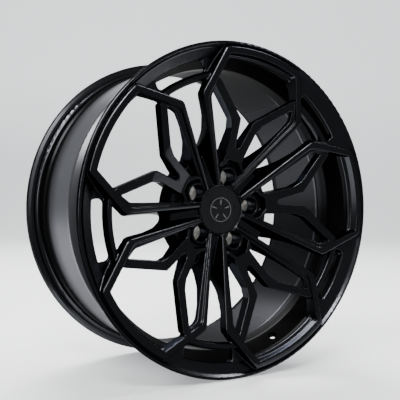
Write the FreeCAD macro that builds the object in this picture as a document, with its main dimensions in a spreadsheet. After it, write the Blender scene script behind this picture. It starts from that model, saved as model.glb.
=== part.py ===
import FreeCAD, Part
import math
import os

import Sketcher

# Forged five-arm wheel, 20 x 9 J, bolt circle 5 x 112.
# The origin is on the spin axis at the rim centre plane. +Y points to the vehicle,
# -Y to the street, +Z is up. Depths in the sheet count from the rim centre plane.
# Sections are drawn as radius along X and Y; face outlines look from the street,
# X to the right and Z up, with the petal or arm that they describe standing upright.

ARMS = 5
STEP = 360.0 / ARMS
PETAL_PHASE = 6.85      # degrees from +X to the first petal axis, towards +Z

SIZES = {
    # rim section
    "crest_radius": 273.7, "crest_front": 128.6, "crest_back": 120.2, "front_half": 131.5,
    "roll_inner": 269.4, "flange_root": 268.5, "flange_root_depth": 115.6,
    "flange_low": 264.5, "rim_half": 114.3, "bead_radius": 256.4,
    "bead_end": 255.2, "bead_end_depth": 94.0, "hump_radius": 256.1,
    "hump_front": 91.0, "hump_back": 87.0, "shoulder": 254.4, "shoulder_depth": 83.5,
    "well_radius": 242.0, "well_front": 57.0, "well_back": 43.0,
    "barrel_radius": 253.2, "barrel_front": 28.5,
    "inside_radius": 247.8, "inside_front": 26.0, "well_inside": 237.0,
    "well_inside_back": 42.0, "well_inside_front": 67.0,
    "lip_inner": 248.3, "lip_inner_depth": 114.3, "lip_back": 109.0,
    "seat_inside": 251.0, "seat_inside_front": 106.0, "seat_inside_back": 98.0,
    "lip_outer": 264.6, "lip_outer_depth": 122.9,
    "rear_face": 262.0, "rear_mouth": 251.5, "rear_mouth_depth": 116.0,
    "slab_radius": 290.0, "rear_slab_front": -109.0, "rear_slab_back": -150.0,
    "roll_round": 3.2, "groove_round": 2.0, "bead_round": 6.5, "well_round": 9.0,
    "valve_radius": 5.65, "valve_spot_radius": 8.2, "valve_spot_sink": 0.8,
    "valve_place": 244.9, "valve_depth": 82.0, "valve_tilt": 24.3, "valve_reach": 15.0,
    # spokes
    "rib_inner": 43.0, "rib_inner_depth": 79.0, "knee_radius": 198.1, "knee_depth": 125.9,
    "knee_blend": 150.0, "corner_round": 6.0, "edge_round": 3.0, "band_flat": 254.5,
    "band_inner": 252.4,
    "ledge_rib_depth": 74.0, "ledge_knee_depth": 120.9, "ledge_band_depth": 126.5,
    "back_a": 235.0, "back_a_depth": 106.0, "back_b": 200.0, "back_b_depth": 109.5,
    "back_c": 165.0, "back_c_depth": 101.0, "back_d": 138.0, "back_d_depth": 86.0,
    "back_e": 117.0, "back_e_depth": 64.0, "back_blend": 45.0,
    "space_front": 150.0, "space_inner": 1.0,
    # petal window in the wheel plane
    "front_plane": 132.0, "prism_depth": 110.0, "knee_round": 14.0,
    "sector_low": 20.0, "sector_low_half": 14.531, "sector_far": 360.0, "sector_far_half": 261.555,
    "petal_low": 30.0, "petal_low_half": 4.9, "petal_knee": 167.5, "petal_knee_half": 88.1,
    "petal_far": 270.0, "petal_far_half": 59.0,
    "wall_low": 30.0, "wall_low_half": 2.0, "wall_knee": 170.2, "wall_knee_half": 80.2,
    "wall_join": 207.5, "wall_join_half": 76.7,
    # trench between the two spokes of an arm
    "gap_low": 20.0, "gap_half": 20.4, "gap_knee": 195.5, "gap_far": 304.3, "gap_far_half": 158.0,
    "gap_draft": 12.5, "gap_depth": 90.0, "gap_round": 12.0,
    # bridge between the two spokes of an arm
    "bar_inner": 216.9, "bar_inner_depth": 118.7, "bar_outer": 224.6, "bar_outer_depth": 120.8,
    "web_inner": 228.1, "web_inner_depth": 109.9, "web_back": 103.0, "web_back_radius": 231.0,
    "bar_back": 214.9, "bar_back_depth": 108.4,
    "slot_low": 190.0, "slot_half": 47.0, "slot_far": 262.0, "slot_round": 8.0,
    # branches
    "branch_inner": 40.0, "branch_ledge_depth": 86.0, "branch_foot": 88.0, "branch_foot_depth": 86.6,
    "branch_knee": 155.0, "branch_knee_depth": 110.5, "branch_end": 216.0, "branch_end_depth": 124.0,
    "branch_end_back": 104.0, "branch_mid": 152.0, "branch_mid_back": 91.0,
    "branch_root": 100.0, "branch_root_back": 57.32,
    "fork_low": 105.4, "fork_low_half": 2.4, "fork_side": 110.5, "fork_side_half": 4.9,
    "fork_knee": 151.6, "fork_knee_half": 12.7, "fork_far": 214.1, "fork_far_half": 87.0,
    "arm_far": 192.4, "arm_far_half": 82.2, "arm_knee": 149.2, "arm_knee_half": 32.3,
    "arm_bend": 134.1, "arm_bend_half": 24.1, "arm_foot": 82.3, "arm_foot_half": 17.3,
    "hex_out": 65.8, "hex_out_half": 30.0, "hex_in": 60.7, "hex_in_half": 27.0,
    "hex_top": 83.5, "hex_top_half": 9.2,
    # hub
    "hub_front": 70.0, "hub_edge": 94.4, "hub_rim": 105.0, "hub_rim_depth": 46.0,
    "hub_back": 84.0, "hub_back_depth": 39.0, "pad_radius": 76.0, "mount_offset": 35.0,
    "bore_radius": 33.3, "bore_depth": 52.0, "relief_radius": 36.5, "relief_depth": 61.0,
    "cap_bore": 33.5, "cap_seat": 69.5, "ring_inner": 40.0, "ring_front": 75.5,
    "bolt_radius": 56.0, "lug_radius": 14.2, "lug_boss_radius": 18.6, "lug_boss_front": 79.2,
    "seat_front": 50.0, "seat_throat": 40.2, "seat_back": 38.5, "seat_mouth": 13.4,
    "stud_radius": 7.75,
    # centre cap
    "cap_radius": 39.6, "cap_front": 73.5, "face_recess": 36.0, "face_radius": 35.7,
    "face_back": 72.0, "face_front": 73.3, "mark_outer": 28.0, "mark_inner": 26.8,
    "mark_floor": 72.9, "skirt_outer": 33.2, "skirt_inner": 31.2, "skirt_end": 53.0,
    "bead_outer": 33.42, "bead_start": 58.5, "bead_stop": 60.5,
    "cap_back": 69.5, "slit_width": 4.0, "slit_length": 70.0, "slit_end": 66.0,
    "wire_radius": 0.9, "wire_ring": 30.7, "wire_depth": 59.5, "wire_sweep": 340.0,
}

doc = FreeCAD.newDocument("ForgedWheel")
dims = doc.addObject("Spreadsheet::Sheet", "Dims")
for row, (cell, value) in enumerate(SIZES.items(), start=1):
    dims.set("A%d" % row, cell)
    dims.set("B%d" % row, str(value))
    dims.setAlias("B%d" % row, cell)
doc.recompute()


def size(name):
    """Value of a sheet cell; a leading minus sign turns it round."""
    if name.startswith("-"):
        return -SIZES[name[1:]]
    return SIZES[name]


def formula(name):
    """Expression that reads the same cell."""
    if name.startswith("-"):
        return "-Dims." + name[1:]
    return "Dims." + name


def bind(thing, name, cell):
    """Sets a property from a cell and keeps it bound to it."""
    thing.setExpression(name, formula(cell))


def fill_outline(sketch, points):
    """Closed straight-sided outline; each point is a pair of cell names."""
    places = [FreeCAD.Vector(size(a), size(b), 0) for a, b in points]
    count = len(points)
    for i in range(count):
        sketch.addGeometry(Part.LineSegment(places[i], places[(i + 1) % count]))
    for i in range(count):
        sketch.addConstraint(Sketcher.Constraint("Coincident", i, 2, (i + 1) % count, 1))
    for i, (across, along) in enumerate(points):
        for kind, cell in (("DistanceX", across), ("DistanceY", along)):
            index = sketch.addConstraint(Sketcher.Constraint(kind, -1, 1, i, 1, size(cell)))
            sketch.setExpression("Constraints[%d]" % index, formula(cell))


def mirrored(half):
    """Outline that is symmetric about the upright axis, from its right half."""
    return half + [("-" + across, along) for across, along in reversed(half)]


def section(name, points):
    """Sketch of a turned section, radius along X and depth along Y."""
    sketch = doc.addObject("Sketcher::SketchObject", name)
    fill_outline(sketch, points)
    return sketch


def face_outline(name, points):
    """Sketch in a plane just in front of the wheel face."""
    sketch = doc.addObject("Sketcher::SketchObject", name)
    sketch.Placement = FreeCAD.Placement(
        FreeCAD.Vector(0, -size("front_plane"), 0), FreeCAD.Rotation(FreeCAD.Vector(1, 0, 0), 90))
    sketch.setExpression("Placement.Base.y", "-Dims.front_plane")
    fill_outline(sketch, points)
    return sketch


def turned(name, points):
    """Solid of revolution about the spin axis."""
    solid = doc.addObject("Part::Revolution", name)
    solid.Source = section(name + "_section", points)
    solid.Axis = FreeCAD.Vector(0, 1, 0)
    solid.Angle = 360
    solid.Solid = True
    return solid


def prism(name, points, depth="prism_depth", draft=None):
    """Prism from the front plane towards the vehicle, with an optional draft cell."""
    solid = doc.addObject("Part::Extrusion", name)
    solid.Base = face_outline(name + "_outline", points)
    solid.DirMode = "Custom"
    solid.Dir = FreeCAD.Vector(0, 1, 0)
    solid.Solid = True
    bind(solid, "LengthFwd", depth)
    if draft:
        bind(solid, "TaperAngle", draft)
    return solid


def cylinder(name, radius, front, back, place=0.0):
    """Cylinder parallel to the spin axis between two depths, at a height on +Z."""
    solid = doc.addObject("Part::Cylinder", name)
    bind(solid, "Radius", radius)
    solid.setExpression("Height", "Dims.%s - Dims.%s" % (front, back))
    solid.Placement = FreeCAD.Placement(
        FreeCAD.Vector(0, -size(front), place), FreeCAD.Rotation(FreeCAD.Vector(1, 0, 0), -90))
    solid.setExpression("Placement.Base.y", "-Dims." + front)
    return solid


def combine(kind, name, pieces):
    """Part::MultiFuse or Part::MultiCommon of several objects."""
    result = doc.addObject(kind, name)
    result.Shapes = pieces
    result.Refine = True
    return result


def cut(name, base, tool):
    result = doc.addObject("Part::Cut", name)
    result.Base = base
    result.Tool = tool
    result.Refine = True
    return result


def copy_turned(name, master, angle):
    """Copy of an object turned about the spin axis, seen from the street."""
    copy = doc.addObject("Part::Compound", name)
    copy.Label = name
    copy.Links = [master]
    copy.Placement = FreeCAD.Placement(
        FreeCAD.Vector(0, 0, 0), FreeCAD.Rotation(FreeCAD.Vector(0, -1, 0), angle))
    return copy


def rounded(name, base, cell, test):
    """Fillet of every edge that passes the test."""
    doc.recompute()
    result = doc.addObject("Part::Fillet", name)
    result.Base = base
    radius = size(cell)
    result.Edges = [
        (index, radius, radius)
        for index, edge in enumerate(base.Shape.Edges, start=1) if test(edge)]
    return result


def at_ring(*spots):
    """Test for full circles about the spin axis at the named radius and depth."""
    def test(edge):
        if not isinstance(edge.Curve, Part.Circle):
            return False
        centre = edge.Curve.Center
        return any(
            abs(edge.Curve.Radius - size(radius)) < 0.01 and abs(centre.y - size(depth)) < 0.01
            for radius, depth in spots)
    return test


def at_corner(*spots):
    """Test for edges that start in the front plane at one of the named points."""
    def test(edge):
        ends = [vertex.Point for vertex in edge.Vertexes]
        if len(ends) < 2 or abs(ends[0].y - ends[1].y) < 1.0:
            return False
        first = min(ends, key=lambda point: point.y)
        return any(
            abs(abs(first.x) - size(across)) < 0.05 and abs(first.z - size(along)) < 0.05
            for across, along in spots)
    return test


# --- cutting tools shared by the spokes, bridges and branches ---------------------------

PETAL_WINDOW = [("petal_low_half", "petal_low"), ("petal_knee_half", "petal_knee"),
                ("petal_far_half", "petal_far")]
WALL_WINDOW = [("wall_low_half", "wall_low"), ("wall_knee_half", "wall_knee"),
               ("wall_join_half", "wall_join"), ("petal_far_half", "petal_far")]
SECTOR = [("sector_low_half", "sector_low"), ("sector_far_half", "sector_far")]
TRENCH = [("gap_half", "gap_low"), ("gap_half", "gap_knee"), ("gap_far_half", "gap_far")]

window_limit = cylinder("window_limit", "band_inner", "space_front", "space_inner")
petal_prism = prism("petal_prism", mirrored(PETAL_WINDOW))
petal_tool = rounded("petal_tool", petal_prism, "knee_round",
                     at_corner(("petal_knee_half", "petal_knee")))
wall_prism = prism("wall_prism", mirrored(WALL_WINDOW))
wall_tool = rounded("wall_tool", wall_prism, "knee_round",
                    at_corner(("wall_knee_half", "wall_knee")))
wall_window = combine("Part::MultiCommon", "wall_window", [wall_tool, window_limit])
trench_prism = prism("trench_prism", mirrored(TRENCH), "gap_depth", "-gap_draft")
trench = rounded("trench", trench_prism, "gap_round", at_corner(("gap_half", "gap_knee")))
trench_right = copy_turned("trench_right", trench, -STEP / 2)
trench_left = copy_turned("trench_left", trench, STEP / 2)


# --- rim barrel --------------------------------------------------------------------------

rim = doc.addObject("PartDesign::Body", "rim")
xy_plane = next(item for item in rim.Origin.OriginFeatures if item.Role == "XY_Plane")
rim_section = rim.newObject("Sketcher::SketchObject", "rim_section")
rim_section.AttachmentSupport = [(xy_plane, "")]
rim_section.MapMode = "FlatFace"
fill_outline(rim_section, [
    ("lip_inner", "-lip_inner_depth"), ("lip_outer", "-lip_outer_depth"),
    ("roll_inner", "-crest_front"), ("crest_radius", "-crest_front"),
    ("crest_radius", "-crest_back"), ("flange_root", "-flange_root_depth"),
    ("flange_low", "-rim_half"), ("bead_radius", "-rim_half"),
    ("bead_end", "-bead_end_depth"), ("hump_radius", "-hump_front"),
    ("hump_radius", "-hump_back"), ("shoulder", "-shoulder_depth"),
    ("well_radius", "-well_front"), ("well_radius", "-well_back"),
    ("barrel_radius", "-barrel_front"), ("barrel_radius", "shoulder_depth"),
    ("hump_radius", "hump_back"), ("hump_radius", "hump_front"),
    ("bead_end", "bead_end_depth"), ("bead_radius", "rim_half"),
    ("flange_low", "rim_half"), ("flange_root", "flange_root_depth"),
    ("crest_radius", "crest_back"), ("crest_radius", "crest_front"),
    ("roll_inner", "front_half"), ("rear_face", "front_half"),
    ("rear_mouth", "rear_mouth_depth"), ("inside_radius", "seat_inside_back"),
    ("inside_radius", "-inside_front"), ("well_inside", "-well_inside_back"),
    ("well_inside", "-well_inside_front"), ("seat_inside", "-seat_inside_back"),
    ("seat_inside", "-seat_inside_front"), ("lip_inner", "-lip_back")])
rim_turning = rim.newObject("PartDesign::Revolution", "rim_turning")
rim_turning.Profile = rim_section
rim_turning.ReferenceAxis = (rim_section, ["V_Axis"])
rim_turning.Angle = 360
doc.recompute()


def fillet_rings(body, name, cell, *spots):
    """PartDesign fillet of full circles, with its radius bound to a cell."""
    base = body.Tip
    test = at_ring(*spots)
    names = ["Edge%d" % index for index, edge in enumerate(base.Shape.Edges, start=1) if test(edge)]
    fillet = body.newObject("PartDesign::Fillet", name)
    fillet.Base = (base, names)
    fillet.Radius = size(cell)
    bind(fillet, "Radius", cell)
    body.Tip = fillet
    doc.recompute()
    return fillet


fillet_rings(rim, "flange_roll", "roll_round",
             ("crest_radius", "-crest_front"), ("crest_radius", "-crest_back"),
             ("crest_radius", "crest_back"), ("crest_radius", "crest_front"))
fillet_rings(rim, "lip_groove", "groove_round",
             ("lip_outer", "-lip_outer_depth"), ("roll_inner", "-crest_front"),
             ("roll_inner", "front_half"), ("rear_face", "front_half"))
fillet_rings(rim, "bead_seats", "bead_round",
             ("bead_radius", "-rim_half"), ("bead_radius", "rim_half"))
fillet_rings(rim, "well", "well_round",
             ("well_radius", "-well_front"), ("well_inside", "-well_inside_front"),
             ("barrel_radius", "-barrel_front"), ("inside_radius", "-inside_front"))

valve_turn = FreeCAD.Rotation(FreeCAD.Vector(1, 0, 0), -size("valve_tilt"))
valve_way = valve_turn.multVec(FreeCAD.Vector(0, 0, 1))
valve_place = FreeCAD.Vector(0, -size("valve_depth"), size("valve_place"))
valve_bore = doc.addObject("Part::Cylinder", "valve_bore")
bind(valve_bore, "Radius", "valve_radius")
valve_bore.setExpression("Height", "2 * Dims.valve_reach")
valve_spot = doc.addObject("Part::Cylinder", "valve_spot")
bind(valve_spot, "Radius", "valve_spot_radius")
valve_spot.setExpression("Height", "Dims.valve_reach + Dims.valve_spot_sink")
for tool in (valve_bore, valve_spot):
    tool.Placement = FreeCAD.Placement(valve_place - valve_way * size("valve_reach"), valve_turn)
valve_cutter = combine("Part::MultiFuse", "valve_cutter", [valve_bore, valve_spot])
valve_tool = copy_turned("valve_tool", valve_cutter, PETAL_PHASE - STEP - 90)
ring_front = cylinder("ring_front", "slab_radius", "space_front", "lip_back")
ring_rear = cylinder("ring_rear", "slab_radius", "rear_slab_front", "rear_slab_back")
front_flange = combine("Part::MultiCommon", "front_flange", [rim, ring_front])
rear_flange = combine("Part::MultiCommon", "rear_flange", [rim, ring_rear])
barrel_tool = combine("Part::MultiFuse", "barrel_tool", [ring_front, ring_rear, valve_tool])
rim_barrel = cut("rim_barrel", rim, barrel_tool)

# --- spokes: one frame per petal, with its rim band and its two spokes -------------------

frame_blank = turned("frame_blank", [
    ("rib_inner", "-rib_inner_depth"), ("knee_radius", "-knee_depth"),
    ("band_flat", "-front_half"), ("lip_outer", "-front_half"),
    ("lip_outer", "-lip_outer_depth"), ("lip_inner", "-lip_inner_depth"),
    ("lip_inner", "-lip_back"), ("seat_inside", "-seat_inside_front"),
    ("seat_inside", "-seat_inside_back"), ("back_a", "-back_a_depth"),
    ("back_b", "-back_b_depth"), ("back_c", "-back_c_depth"), ("back_d", "-back_d_depth"),
    ("back_e", "-back_e_depth"), ("hub_rim", "-hub_rim_depth"), ("hub_edge", "-hub_front"),
    ("rib_inner", "-hub_front")])
frame_back = rounded("frame_back", frame_blank, "back_blend", at_ring(
    ("back_b", "-back_b_depth"), ("back_c", "-back_c_depth"), ("back_d", "-back_d_depth")))
frame_face = rounded("frame_face", frame_back, "knee_blend", at_ring(("knee_radius", "-knee_depth")))
ledge_space = turned("ledge_space", [
    ("space_inner", "-space_front"), ("lip_inner", "-space_front"),
    ("lip_inner", "-ledge_band_depth"), ("knee_radius", "-ledge_knee_depth"),
    ("rib_inner", "-ledge_rib_depth"), ("space_inner", "-ledge_rib_depth")])
ledge_face = rounded("ledge_face", ledge_space, "knee_blend",
                     at_ring(("knee_radius", "-ledge_knee_depth")))
petal_sector = prism("petal_sector", mirrored(SECTOR))
frame_sector = combine("Part::MultiCommon", "frame_sector", [frame_face, petal_sector])
ledge_limit = combine("Part::MultiCommon", "ledge_limit", [petal_tool, ledge_face])
frame_space = combine("Part::MultiFuse", "frame_space",
                      [wall_window, ledge_limit, trench_right, trench_left])
frame_cut = cut("frame_cut", frame_sector, frame_space)


def at_band_corner(edge):
    """Test for the short upright edges where the band ends beside an arm."""
    ends = [vertex.Point for vertex in edge.Vertexes]
    upright = len(ends) == 2 and abs(ends[0].y - ends[1].y) > 5.0
    return upright and all(
        abs(math.hypot(end.x, end.z) - size("lip_outer")) < 0.05 for end in ends)


frame_corners = rounded("frame_corners", frame_cut, "corner_round", at_band_corner)


def front_height(radius):
    """Height of the front face over the rim centre plane at a radius."""
    knee = size("knee_radius")
    if radius < knee:
        share = (radius - size("rib_inner")) / (knee - size("rib_inner"))
        return size("rib_inner_depth") + share * (size("knee_depth") - size("rib_inner_depth"))
    share = min((radius - knee) / (size("band_flat") - knee), 1.0)
    return size("knee_depth") + share * (size("front_half") - size("knee_depth"))


def beside_trench(edge):
    """Test for front edges along the two trenches."""
    first, last = edge.ParameterRange
    for share in (0.02, 0.25, 0.5, 0.75, 0.98):
        point = edge.valueAt(first + share * (last - first))
        off_face = abs(point.y + front_height(math.hypot(point.x, point.z)))
        gap = min(side.Shape.distToShape(Part.Vertex(point))[0]
                  for side in (trench_right, trench_left))
        if off_face > 2.5 or gap > 0.02:
            return False
    return True


frame = rounded("frame", frame_corners, "edge_round", beside_trench)

# --- bridge: bar between the two spokes of an arm, with the slot outside it --------------

bridge_blank = turned("bridge_blank", [
    ("bar_inner", "-bar_inner_depth"), ("bar_outer", "-bar_outer_depth"),
    ("web_inner", "-web_inner_depth"), ("lip_inner", "-lip_inner_depth"),
    ("lip_inner", "-lip_back"), ("seat_inside", "-seat_inside_front"),
    ("seat_inside", "-seat_inside_back"), ("web_back_radius", "-web_back"),
    ("bar_back", "-bar_back_depth")])
slot_prism = prism("slot_prism", mirrored([("slot_half", "slot_low"), ("slot_half", "slot_far")]))
slot_ring = turned("slot_ring", [
    ("web_inner", "-space_front"), ("seat_inside", "-space_front"),
    ("seat_inside", "-space_inner"), ("web_inner", "-space_inner")])
slot_blank = combine("Part::MultiCommon", "slot_blank", [slot_prism, slot_ring])
slot = rounded("slot", slot_blank, "slot_round", lambda edge: isinstance(edge.Curve, Part.Line)
               and abs(edge.Vertexes[0].Y - edge.Vertexes[-1].Y) > 1.0)
bridge_band = combine("Part::MultiCommon", "bridge_band", [bridge_blank, trench])
bridge = cut("bridge", bridge_band, slot)

# --- branch: fork from the lug pocket to the two spokes of a petal -----------------------

branch_blank = turned("branch_blank", [
    ("branch_inner", "-branch_ledge_depth"), ("branch_foot", "-branch_foot_depth"),
    ("branch_knee", "-branch_knee_depth"), ("branch_end", "-branch_end_depth"),
    ("branch_end", "-branch_end_back"), ("branch_mid", "-branch_mid_back"),
    ("branch_root", "-branch_root_back"), ("hub_edge", "-hub_front"),
    ("branch_inner", "-hub_front")])
BRANCH = [("fork_low_half", "fork_low"), ("fork_side_half", "fork_side"),
          ("fork_knee_half", "fork_knee"), ("fork_far_half", "fork_far"),
          ("arm_far_half", "arm_far"), ("arm_knee_half", "arm_knee"),
          ("arm_bend_half", "arm_bend"), ("arm_foot_half", "arm_foot"),
          ("hex_out_half", "hex_out"), ("hex_in_half", "hex_in"), ("hex_top_half", "hex_top")]
branch_prism = prism("branch_prism", mirrored(BRANCH))
branch = combine("Part::MultiCommon", "branch", [branch_blank, branch_prism, wall_window])

# --- hub ---------------------------------------------------------------------------------

hub_disc = turned("hub_disc", [
    ("ring_inner", "-ring_front"), ("rib_inner", "-ring_front"), ("rib_inner", "-hub_front"),
    ("hub_edge", "-hub_front"), ("hub_rim", "-hub_rim_depth"), ("hub_back", "-hub_back_depth"),
    ("pad_radius", "-mount_offset"), ("bore_radius", "-mount_offset"),
    ("bore_radius", "-bore_depth"), ("relief_radius", "-bore_depth"),
    ("relief_radius", "-relief_depth"), ("cap_bore", "-relief_depth"),
    ("cap_bore", "-cap_seat"), ("ring_inner", "-cap_seat")])
boss_pin = cylinder("boss_pin", "lug_boss_radius", "lug_boss_front", "hub_front", size("bolt_radius"))
boss_ring = turned("boss_ring", [
    ("rib_inner", "-space_front"), ("hub_edge", "-space_front"),
    ("hub_edge", "-space_inner"), ("rib_inner", "-space_inner")])
boss = combine("Part::MultiCommon", "boss", [boss_pin, wall_window, boss_ring])
lug_bore = cylinder("lug_bore", "lug_radius", "space_front", "seat_back", size("bolt_radius"))
stud_hole = cylinder("stud_hole", "stud_radius", "space_front", "space_inner", size("bolt_radius"))
lug_tool = combine("Part::MultiFuse", "lug_tool", [lug_bore, stud_hole])
petal_angles = [PETAL_PHASE - 90 + STEP * i for i in range(ARMS)]
bosses = [copy_turned("boss_%d" % (i + 1), boss, angle) for i, angle in enumerate(petal_angles)]
lug_tools = combine("Part::MultiFuse", "lug_tools", [
    copy_turned("lug_tool_%d" % (i + 1), lug_tool, angle) for i, angle in enumerate(petal_angles)])
hub_solid = combine("Part::MultiFuse", "hub_solid", [hub_disc] + bosses)
hub = cut("hub", hub_solid, lug_tools)

# --- lug seats: steel cone seats pressed into the lug bores ------------------------------

seat_blank = cylinder("seat_blank", "lug_radius", "seat_front", "seat_back", size("bolt_radius"))
seat_cone = doc.addObject("Part::Cone", "seat_cone")
bind(seat_cone, "Radius1", "seat_mouth")
bind(seat_cone, "Radius2", "stud_radius")
seat_cone.setExpression("Height", "Dims.seat_front - Dims.seat_throat")
seat_cone.Placement = FreeCAD.Placement(
    FreeCAD.Vector(0, -size("seat_front"), size("bolt_radius")),
    FreeCAD.Rotation(FreeCAD.Vector(1, 0, 0), -90))
seat_hole = cylinder("seat_hole", "stud_radius", "seat_front", "seat_back", size("bolt_radius"))
seat_tool = combine("Part::MultiFuse", "seat_tool", [seat_cone, seat_hole])
seat = cut("seat", seat_blank, seat_tool)

# --- centre cap --------------------------------------------------------------------------

cap_flange = turned("cap_flange", [
    ("face_recess", "-cap_front"), ("cap_radius", "-cap_front"), ("cap_radius", "-cap_seat"),
    ("skirt_outer", "-cap_seat"), ("skirt_outer", "-bead_stop"), ("bead_outer", "-bead_start"),
    ("skirt_outer", "-skirt_end"), ("skirt_inner", "-skirt_end"), ("skirt_inner", "-face_back"),
    ("face_recess", "-face_back")])
cap_plate = cylinder("cap_plate", "skirt_outer", "face_back", "cap_back")
cap_solid = combine("Part::MultiFuse", "cap_solid", [cap_flange, cap_plate])
slits = []
for i in range(3):
    slit = doc.addObject("Part::Box", "slit_%d" % (i + 1))
    bind(slit, "Length", "slit_width")
    bind(slit, "Width", "slit_length")
    slit.setExpression("Height", "Dims.slit_end - Dims.skirt_end")
    turn = FreeCAD.Rotation(FreeCAD.Vector(0, 1, 0), 60.0 * i)
    lay = turn.multiply(FreeCAD.Rotation(FreeCAD.Vector(1, 0, 0), -90))
    corner = FreeCAD.Vector(-size("slit_width") / 2, -size("slit_end"), size("slit_length") / 2)
    slit.Placement = FreeCAD.Placement(turn.multVec(corner), lay)
    slits.append(slit)


def wire_torus(name):
    """Ring of round wire inside the cap skirt."""
    torus = doc.addObject("Part::Torus", name)
    bind(torus, "Radius1", "wire_ring")
    bind(torus, "Radius2", "wire_radius")
    torus.Placement = FreeCAD.Placement(
        FreeCAD.Vector(0, -size("wire_depth"), 0), FreeCAD.Rotation(FreeCAD.Vector(1, 0, 0), -90))
    torus.setExpression("Placement.Base.y", "-Dims.wire_depth")
    return torus


cap_tools = combine("Part::MultiFuse", "cap_tools", slits + [wire_torus("wire_groove")])
cap_body = cut("cap_body", cap_solid, cap_tools)
cap_spring = wire_torus("cap_spring")
bind(cap_spring, "Angle3", "wire_sweep")
face_disc = cylinder("face_disc", "face_radius", "face_front", "face_back")
face_mark = turned("face_mark", [
    ("mark_inner", "-cap_front"), ("mark_outer", "-cap_front"),
    ("mark_outer", "-mark_floor"), ("mark_inner", "-mark_floor")])
cap_face = cut("cap_face", face_disc, face_mark)

# --- sub-parts ---------------------------------------------------------------------------

nodes = [front_flange, rim_barrel, rear_flange, hub, cap_body, cap_spring, cap_face]
for i, angle in enumerate(petal_angles, start=1):
    nodes.append(copy_turned("petal_frame_%d" % i, frame, angle))
    nodes.append(copy_turned("y_branch_%d" % i, branch, angle))
    nodes.append(copy_turned("arm_bridge_%d" % i, bridge, angle + STEP / 2))
    nodes.append(copy_turned("lug_seat_%d" % i, seat, angle))
doc.recompute()

for item in doc.Objects:
    if "Invalid" in item.State or "Error" in item.State:
        raise RuntimeError("%s did not compute" % item.Name)
os.makedirs("parts", exist_ok=True)
for node in nodes:
    if node.Shape.isNull() or not node.Shape.isValid():
        raise RuntimeError("%s has no valid shape" % node.Label)
    node.Shape.exportStep("parts/%s.step" % node.Label)
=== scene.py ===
import math

import bmesh
import bpy
from mathutils import Matrix, Vector
from mathutils.bvhtree import BVHTree


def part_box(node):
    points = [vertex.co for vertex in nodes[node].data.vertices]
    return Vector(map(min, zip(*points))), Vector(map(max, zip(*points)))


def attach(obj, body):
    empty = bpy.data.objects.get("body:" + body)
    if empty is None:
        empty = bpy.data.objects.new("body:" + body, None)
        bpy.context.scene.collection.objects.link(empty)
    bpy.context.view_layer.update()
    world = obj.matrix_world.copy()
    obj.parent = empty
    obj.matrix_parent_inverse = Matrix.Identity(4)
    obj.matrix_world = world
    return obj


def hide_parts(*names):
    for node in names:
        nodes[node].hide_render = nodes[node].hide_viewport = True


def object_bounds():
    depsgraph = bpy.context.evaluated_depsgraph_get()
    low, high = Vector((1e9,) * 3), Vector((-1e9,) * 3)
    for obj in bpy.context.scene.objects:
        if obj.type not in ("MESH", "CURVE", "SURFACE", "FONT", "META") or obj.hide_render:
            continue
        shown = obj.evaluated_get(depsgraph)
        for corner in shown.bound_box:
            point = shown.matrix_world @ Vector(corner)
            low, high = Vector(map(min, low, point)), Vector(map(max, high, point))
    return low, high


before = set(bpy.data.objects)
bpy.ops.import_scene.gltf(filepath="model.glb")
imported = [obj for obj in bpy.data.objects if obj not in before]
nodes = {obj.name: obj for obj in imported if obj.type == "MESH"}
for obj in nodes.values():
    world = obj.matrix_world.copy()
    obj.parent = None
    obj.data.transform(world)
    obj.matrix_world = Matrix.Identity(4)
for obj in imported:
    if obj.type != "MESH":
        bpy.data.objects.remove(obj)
cad_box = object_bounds()
scene = bpy.context.scene

# --- camera: the photograph's viewing angle ---------------------------------------------------

RIGHT = Vector((0.86287, -0.50539, 0.00585))
UP = Vector((0.0, 0.01158, 0.99993))
AHEAD = Vector((0.50542, 0.86281, -0.00999))
CAMERA_PLACE = (-0.6205, -1.0628, 0.0279)

camera_data = bpy.data.cameras.new("camera")
camera_data.lens = 62.27
camera_data.sensor_width = 36.0
camera_data.clip_end = 50.0
camera = bpy.data.objects.new("camera", camera_data)
scene.collection.objects.link(camera)
turn = Matrix((RIGHT, UP, -AHEAD)).transposed().to_4x4()
camera.matrix_world = Matrix.Translation(CAMERA_PLACE) @ turn
scene.camera = camera

# --- materials --------------------------------------------------------------------------------

BUMP_HEIGHT = 0.0001            # metres, for every bump
NOISE_MIDDLE = (0.3, 0.7)       # the part of a noise's range that is spread out
MOTTLE_SCALE = 24.0             # colour patches of the paint
GLOSS_SCALE = 18.0              # gloss patches of the paint
GLOSS_SPREAD = 0.012            # roughness, either way
PEEL_SCALE = 2600.0             # orange peel of the black paint
PLASTIC_GRAIN_SCALE = 4200.0    # grain of the cap and its mark
PEEL_STRENGTH = 0.05


def new_material(name, color, rough, metal=0.0):
    """Principled material; returns it with its node tree and shader."""
    material = bpy.data.materials.new(name)
    material.use_nodes = True
    tree = material.node_tree
    shader = tree.nodes["Principled BSDF"]
    shader.inputs["Base Color"].default_value = (*color, 1.0)
    shader.inputs["Roughness"].default_value = rough
    shader.inputs["Metallic"].default_value = metal
    return material, tree, shader


def noise(tree, scale, detail=3.0):
    """3-D noise in object coordinates."""
    coords = tree.nodes.new("ShaderNodeTexCoord")
    texture = tree.nodes.new("ShaderNodeTexNoise")
    texture.inputs["Scale"].default_value = scale
    texture.inputs["Detail"].default_value = detail
    tree.links.new(coords.outputs["Object"], texture.inputs["Vector"])
    return texture.outputs["Fac"]


def map_range(tree, source, source_range, result_range):
    """Maps one range of a value to another, and clamps it."""
    node = tree.nodes.new("ShaderNodeMapRange")
    node.inputs["From Min"].default_value, node.inputs["From Max"].default_value = source_range
    node.inputs["To Min"].default_value, node.inputs["To Max"].default_value = result_range
    tree.links.new(source, node.inputs["Value"])
    return node.outputs["Result"]


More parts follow.
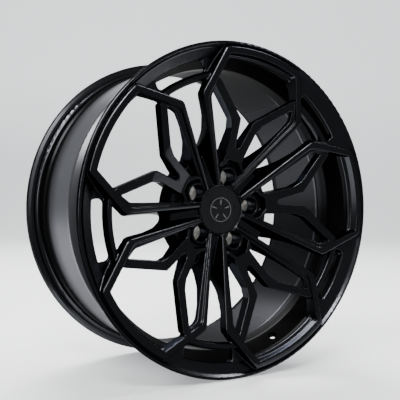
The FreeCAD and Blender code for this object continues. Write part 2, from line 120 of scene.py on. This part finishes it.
def patches(tree, scale, low, high):
    """Soft patches that vary from low to high."""
    return map_range(tree, noise(tree, scale), NOISE_MIDDLE, (low, high))


def bump(tree, shader, scale, strength):
    """Fine bump on a shader."""
    node = tree.nodes.new("ShaderNodeBump")
    node.inputs["Strength"].default_value = strength
    node.inputs["Distance"].default_value = BUMP_HEIGHT
    tree.links.new(noise(tree, scale, detail=2.0), node.inputs["Height"])
    tree.links.new(node.outputs["Normal"], shader.inputs["Normal"])


def mixed(tree, factor, first, second):
    """Colour between two; a colour is an output or a tuple."""
    mix = tree.nodes.new("ShaderNodeMix")
    mix.data_type = "RGBA"
    tree.links.new(factor, mix.inputs["Factor"])
    for socket, color in (("A", first), ("B", second)):
        if isinstance(color, tuple):
            mix.inputs[socket].default_value = (*color, 1.0)
        else:
            tree.links.new(color, mix.inputs[socket])
    return mix.outputs["Result"]


def tint_grazing(shader, grazing):
    """Dims what a metallic surface mirrors at grazing angles, as satin paint does."""
    shader.inputs["Specular Tint"].default_value = (grazing, grazing, grazing, 1.0)


def painted(name, color, light, rough, grain_scale, metal=0.0, grazing=1.0):
    """Satin paint: fine orange peel, slight mottling of colour and gloss."""
    material, tree, shader = new_material(name, color, rough, metal)
    tint_grazing(shader, grazing)
    mottle = patches(tree, MOTTLE_SCALE, 0.0, 1.0)
    tree.links.new(mixed(tree, mottle, color, light), shader.inputs["Base Color"])
    gloss = patches(tree, GLOSS_SCALE, rough - GLOSS_SPREAD, rough + GLOSS_SPREAD)
    tree.links.new(gloss, shader.inputs["Roughness"])
    bump(tree, shader, grain_scale, PEEL_STRENGTH)
    return material


black = painted("black_paint", (0.036, 0.037, 0.040), (0.04, 0.041, 0.045), 0.24, PEEL_SCALE,
                metal=1.0, grazing=0.12)
cap_black = painted("cap_plastic", (0.055, 0.056, 0.058), (0.06, 0.061, 0.063), 0.36,
                    PLASTIC_GRAIN_SCALE, metal=1.0, grazing=0.3)
steel, steel_tree, steel_shader = new_material("seat_steel", (0.86, 0.84, 0.8), 0.34, 0.55)
bump(steel_tree, steel_shader, scale=900.0, strength=0.1)

# The barrel's colour changes along the rim and carries painted light. Outside, it is black by
# the two flanges, with a painted reflection that is lighter in the middle between them. Inside,
# it is darker towards the street side, with a painted highlight ring along the crease. Stops are
# (share of the width from the street side, brightness).
BARREL_ENDS = (-0.130, 0.130)
INNER_PAINTED_HIGHLIGHT_STOPS = ((0.0, 0.006), (0.29, 0.008), (0.31, 0.016), (0.385, 0.018), (0.392, 0.07),
               (0.415, 0.07), (0.422, 0.024), (1.0, 0.03))
OUTER_PAINTED_REFLECTION_STOPS = ((0.0, 0.006), (0.2, 0.008), (0.33, 0.05), (0.385, 0.09), (0.395, 0.2),
               (0.6, 0.21), (0.72, 0.13), (0.79, 0.012), (1.0, 0.006))


def painted_light_ramp(tree, along, stops):
    """Slightly blue colour by the share of the rim width, for the barrel's painted light."""
    ramp = tree.nodes.new("ShaderNodeValToRGB")
    elements = ramp.color_ramp.elements
    elements.remove(elements[1])
    for index, (share, shade) in enumerate(stops):
        element = elements.new(share) if index else elements[0]
        element.position = share
        element.color = (shade, shade * 1.01, shade * 1.08, 1.0)
    tree.links.new(along, ramp.inputs["Fac"])
    return ramp.outputs["Color"]


def barrel_paint():
    """Dark paint with painted light: one ramp for the inside of the barrel and one for the
    outside.
    """
    material, tree, shader = new_material("barrel_paint", (0.03, 0.03, 0.033), 0.3, 0.93)
    tint_grazing(shader, 0.25)
    coords = tree.nodes.new("ShaderNodeTexCoord")
    split = tree.nodes.new("ShaderNodeSeparateXYZ")
    tree.links.new(coords.outputs["Object"], split.inputs["Vector"])

    # Outside is where the surface faces away from the spin axis, which is y.
    geometry = tree.nodes.new("ShaderNodeNewGeometry")
    radial = tree.nodes.new("ShaderNodeCombineXYZ")
    tree.links.new(split.outputs["X"], radial.inputs["X"])
    tree.links.new(split.outputs["Z"], radial.inputs["Z"])
    facing = tree.nodes.new("ShaderNodeVectorMath")
    facing.operation = "DOT_PRODUCT"
    tree.links.new(geometry.outputs["True Normal"], facing.inputs[0])
    tree.links.new(radial.outputs["Vector"], facing.inputs[1])
    outside = tree.nodes.new("ShaderNodeMath")
    outside.operation = "GREATER_THAN"
    outside.inputs[1].default_value = 0.0
    tree.links.new(facing.outputs["Value"], outside.inputs[0])

    # The outside ramp paints a reflection that is lighter in the middle of the rim. The inside
    # ramp paints a highlight ring along the crease.
    along = map_range(tree, split.outputs["Y"], BARREL_ENDS, (0.0, 1.0))
    shade = mixed(tree, outside.outputs["Value"], painted_light_ramp(tree, along, INNER_PAINTED_HIGHLIGHT_STOPS),
                  painted_light_ramp(tree, along, OUTER_PAINTED_REFLECTION_STOPS))
    tree.links.new(shade, shader.inputs["Base Color"])
    tree.links.new(patches(tree, 14.0, 0.29, 0.31), shader.inputs["Roughness"])
    bump(tree, shader, scale=1800.0, strength=0.02)
    return material


# Barrel paint whose colour holds a painted reflection and a painted highlight.
barrel_with_painted_light = barrel_paint()

# --- castings: the spoke nodes as one flowing surface, cut apart again into its nodes ---------

CAST = ("petal_frame", "y_branch", "arm_bridge", "hub", "front_flange")
VOXEL = 0.0009                  # of the surface
SMOOTH_TURNS = 14
CUTTER_VOXEL = 0.0025           # of the grown copies that cut it apart
CUTTER_GROWTH = 0.0025
SCRAP = 60                      # vertices; a closed piece with fewer is dropped
KEEP_SHARE = 0.28               # of the faces, after the cuts
TURNED_FROM = 0.2675            # radius from which the flange has its exact turned shape
SHARP_ANGLE = math.radians(40.0)


def linked(name, mesh):
    """Object of a mesh, in the scene."""
    item = bpy.data.objects.new(name, mesh)
    scene.collection.objects.link(item)
    return item


def named(start):
    """Nodes whose names start so."""
    return [name for name in nodes if name.startswith(start)]


def joined(names):
    """Meshes of several CAD nodes in one."""
    build = bmesh.new()
    for name in names:
        build.from_mesh(nodes[name].data)
    mesh = bpy.data.meshes.new("joined")
    build.to_mesh(mesh)
    build.free()
    return mesh


def applied(item):
    """Mesh of an object with its modifiers applied; the object goes."""
    graph = bpy.context.evaluated_depsgraph_get()
    result = bpy.data.meshes.new_from_object(item.evaluated_get(graph))
    bpy.data.objects.remove(item)
    return result


def voxelled(mesh, size):
    """Object of a mesh with a voxel remesh on it."""
    item = linked("voxels", mesh)
    remesh = item.modifiers.new("remesh", "REMESH")
    remesh.mode = "VOXEL"
    remesh.voxel_size = size
    return item


def flowing_surface(names):
    """Closed surface round the named nodes, edges rounded and inner corners filled."""
    item = voxelled(joined(names), VOXEL)
    smooth = item.modifiers.new("smooth", "SMOOTH")
    smooth.factor = 0.5
    smooth.iterations = SMOOTH_TURNS
    return applied(item)


def cutter(names):
    """Slightly grown copy of the named nodes."""
    item = voxelled(joined(names), CUTTER_VOXEL)
    grow = item.modifiers.new("grow", "DISPLACE")
    grow.strength = CUTTER_GROWTH
    grow.mid_level = 0.0
    return applied(item)


def boolean(mesh, tool, operation):
    """Mesh after a boolean operation with another mesh."""
    item = linked("base", mesh)
    other = linked("tool", tool)
    modifier = item.modifiers.new("cut", "BOOLEAN")
    modifier.solver = "MANIFOLD"
    modifier.operation = operation
    modifier.object = other
    result = applied(item)
    bpy.data.objects.remove(other)
    return result


def islands(mesh):
    """Vertex indexes of each closed piece of a mesh."""
    build = bmesh.new()
    build.from_mesh(mesh)
    met = [False] * len(build.verts)
    found = []
    for start in build.verts:
        if met[start.index]:
            continue
        met[start.index] = True
        stack = [start]
        members = []
        while stack:
            vertex = stack.pop()
            members.append(vertex.index)
            for edge in vertex.link_edges:
                other = edge.other_vert(vertex)
                if not met[other.index]:
                    met[other.index] = True
                    stack.append(other)
        found.append(members)
    build.free()
    return found


def node_centre(name):
    """Middle of a node's box."""
    low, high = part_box(name)
    return (Vector(low) + Vector(high)) / 2


def true_up(build, name):
    """Moves the outer vertices of the flange skin onto the turned surface of its node."""
    body = bmesh.new()
    body.from_mesh(nodes[name].data)
    surface = BVHTree.FromBMesh(body)
    for vertex in build.verts:
        if math.hypot(vertex.co.x, vertex.co.z) > TURNED_FROM:
            vertex.co = surface.find_nearest(vertex.co)[0]
    body.free()


def cast_piece(name, mesh, members):
    """Visible piece of one node, from some vertices of a larger mesh."""
    build = bmesh.new()
    build.from_mesh(mesh)
    keep = set(members)
    others = [vertex for vertex in build.verts if vertex.index not in keep]
    bmesh.ops.delete(build, geom=others, context="VERTS")
    if name == "front_flange":
        true_up(build, name)
    part = bpy.data.meshes.new(name + "_skin")
    build.to_mesh(part)
    build.free()
    item = linked(name + "_skin", part)
    thin = item.modifiers.new("thin", "DECIMATE")
    thin.ratio = KEEP_SHARE
    part = applied(item)
    part.name = name + "_skin"
    part.materials.clear()
    part.materials.append(black)
    part.shade_smooth()
    part.set_sharp_from_angle(angle=SHARP_ANGLE)
    item = linked(name + "_skin", part)
    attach(item, "wheel")
    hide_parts(name)


def share_out(mesh, names):
    """Gives each closed piece of a mesh to the nearest of the named nodes."""
    points = mesh.vertices
    holders = {name: [] for name in names}
    for members in islands(mesh):
        if len(members) < SCRAP:
            continue
        middle = sum((points[i].co for i in members), Vector()) / len(members)
        nearest = min(names, key=lambda name: (node_centre(name) - middle).length)
        holders[nearest].extend(members)
    for name, members in holders.items():
        cast_piece(name, mesh, members)


rest = flowing_surface(named(CAST))
for start in CAST[1:]:
    group = named(start)
    tool = cutter(group)
    inside = boolean(rest, tool, "INTERSECT")
    rest = boolean(rest, tool, "DIFFERENCE")
    share_out(inside, group)
share_out(rest, named(CAST[0]))

# --- finishes of the CAD nodes; those of CAST are hidden behind their skins -------------------


def paint(item, material):
    """Gives an object one material."""
    if item.data.materials:
        item.data.materials[0] = material
    else:
        item.data.materials.append(material)


for name, item in nodes.items():
    if name == "rim_barrel":
        paint(item, barrel_with_painted_light)
    elif name.startswith(CAST + ("rear_flange",)):
        paint(item, black)
    elif name.startswith(("lug_seat", "cap_spring")):
        paint(item, steel)
    else:
        paint(item, cap_black)

# --- centre cap mark: a plain ring with five bars ---------------------------------------------

MARK_PROUD = 0.00012
MARK_DEPTH = 0.0004
MARK_RING = (0.0196, 0.0203)    # inner and outer radius
MARK_BAR = (0.0085, 0.0172)
BARS = 5
BAR_HALF_ANGLE = 0.045          # radians
FULL_TURN = 2 * math.pi
mark_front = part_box("cap_face")[0][1] - MARK_PROUD
mark_back = mark_front + MARK_DEPTH


def arc_plate(build, radii, start, end, steps):
    """Flat plate between two radii and two angles, or a whole ring."""
    inner, outer = radii
    section = ((inner, mark_front), (outer, mark_front), (outer, mark_back), (inner, mark_back))
    ring = end - start > FULL_TURN - 0.001
    rows = []
    for i in range(steps if ring else steps + 1):
        angle = start + (end - start) * i / steps
        rows.append([build.verts.new((radius * math.cos(angle), y, radius * math.sin(angle)))
                     for radius, y in section])
    pairs = list(zip(rows, rows[1:]))
    if ring:
        pairs.append((rows[-1], rows[0]))
    else:
        build.faces.new(reversed(rows[0]))
        build.faces.new(rows[-1])
    for low, high in pairs:
        for i in range(4):
            j = (i + 1) % 4
            build.faces.new((low[i], low[j], high[j], high[i]))


mark_build = bmesh.new()
arc_plate(mark_build, MARK_RING, 0.0, FULL_TURN, 96)
for i in range(BARS):
    middle = FULL_TURN * (0.25 + i / BARS)
    arc_plate(mark_build, MARK_BAR, middle - BAR_HALF_ANGLE, middle + BAR_HALF_ANGLE, 4)
bmesh.ops.recalc_face_normals(mark_build, faces=mark_build.faces)
mark_mesh = bpy.data.meshes.new("cap_mark")
mark_build.to_mesh(mark_mesh)
mark_build.free()
mark_mesh.materials.append(painted("mark_grey", (0.12, 0.12, 0.122), (0.15, 0.15, 0.152), 0.4,
                                   PLASTIC_GRAIN_SCALE))
cap_mark = linked("cap_mark", mark_mesh)
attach(cap_mark, "cap")

# --- floor, backdrop and studio light ---------------------------------------------------------

FLOOR = cad_box[0][2]
FLOOR_NEAR = -6.0               # distances along AHEAD, from the wheel
FLOOR_SPLIT = -0.12
BACKDROP_START = 3.2
BACKDROP_BEND = 1.2             # radius of the curve from the floor to the backdrop
BACKDROP_TOP = 6.0
STAGE_SIDE = 7.0
FLOOR_GLOW = 0.36
BACKDROP_GLOW = 0.84
WORLD_SEEN = 0.8                # strength to the camera
WORLD_LIT = 0.25                # strength to the wheel and the stage


def sheet(name, profile, material):
    """Floor or backdrop swept across the view from (distance ahead, height) points."""
    build = bmesh.new()
    rows = []
    for along, high in profile:
        rows.append([build.verts.new((across * RIGHT.x + along * AHEAD.x,
                                      across * RIGHT.y + along * AHEAD.y, FLOOR + high))
                     for across in (-STAGE_SIDE, STAGE_SIDE)])
    for low, top in zip(rows, rows[1:]):
        build.faces.new((low[0], low[1], top[1], top[0]))
    mesh = bpy.data.meshes.new(name)
    build.to_mesh(mesh)
    build.free()
    mesh.shade_smooth()
    mesh.materials.append(material)
    item = linked(name, mesh)
    return item


pale, pale_tree, pale_shader = new_material("pale_stage", (0.62, 0.625, 0.63), 0.6)
pale_tree.links.new(patches(pale_tree, 6.0, 0.55, 0.65), pale_shader.inputs["Roughness"])
pale_shader.inputs["Emission Color"].default_value = (0.97, 1.0, 1.02, 1.0)
stage_coords = pale_tree.nodes.new("ShaderNodeTexCoord")
stage_split = pale_tree.nodes.new("ShaderNodeSeparateXYZ")
pale_tree.links.new(stage_coords.outputs["Object"], stage_split.inputs["Vector"])
stage_glow = map_range(pale_tree, stage_split.outputs["Z"], (FLOOR, FLOOR + BACKDROP_BEND),
                       (FLOOR_GLOW, BACKDROP_GLOW))
pale_tree.links.new(stage_glow, pale_shader.inputs["Emission Strength"])

bend = [(BACKDROP_START + BACKDROP_BEND * math.sin(angle), BACKDROP_BEND * (1 - math.cos(angle)))
        for angle in (math.radians(9.0 * i) for i in range(1, 11))]
sheet("floor_behind", [(FLOOR_SPLIT, 0.0), (BACKDROP_START, 0.0), *bend,
                       (BACKDROP_START + BACKDROP_BEND, BACKDROP_TOP)], pale)
# The paint doesn't mirror the floor before the wheel, as in the dark room of the photograph.
floor_front = sheet("floor_front", [(FLOOR_NEAR, 0.0), (FLOOR_SPLIT, 0.0)], pale)
floor_front.visible_glossy = False

world = bpy.data.worlds.new("world")
world.use_nodes = True
world_tree = world.node_tree
background = world_tree.nodes["Background"]
background.inputs["Color"].default_value = (0.9, 0.94, 1.0, 1.0)
rays = world_tree.nodes.new("ShaderNodeLightPath")
strength = map_range(world_tree, rays.outputs["Is Camera Ray"], (0.0, 1.0),
                     (WORLD_LIT, WORLD_SEEN))
world_tree.links.new(strength, background.inputs["Strength"])
scene.world = world

LIGHTS = (  # name, place, aim, watts, width, height
    ("over_back", (0.35, 1.75, 2.25), (0.0, 0.1, 0.0), 210.0, 1.6, 1.6),
    ("over_left", (-2.4, -0.2, 2.2), (0.0, 0.0, 0.0), 110.0, 1.3, 1.3),
    ("front_high", (-1.3, -1.5, 2.3), (0.0, 0.0, 0.0), 90.0, 1.1, 0.5),
    ("over_right", (1.5, -0.2, 2.1), (0.0, -0.1, 0.0), 75.0, 0.9, 0.7),
    ("left_low", (-2.2, -1.2, 0.7), (0.0, 0.0, 0.0), 22.0, 0.4, 1.6),
)
for name, place, aim, watts, width, height in LIGHTS:
    lamp = bpy.data.lights.new(name, "AREA")
    lamp.shape = "RECTANGLE"
    lamp.size = width
    lamp.size_y = height
    lamp.energy = watts
    light = bpy.data.objects.new(name, lamp)
    light.location = place
    light.rotation_euler = (Vector(aim) - Vector(place)).to_track_quat("-Z", "Y").to_euler()
    scene.collection.objects.link(light)
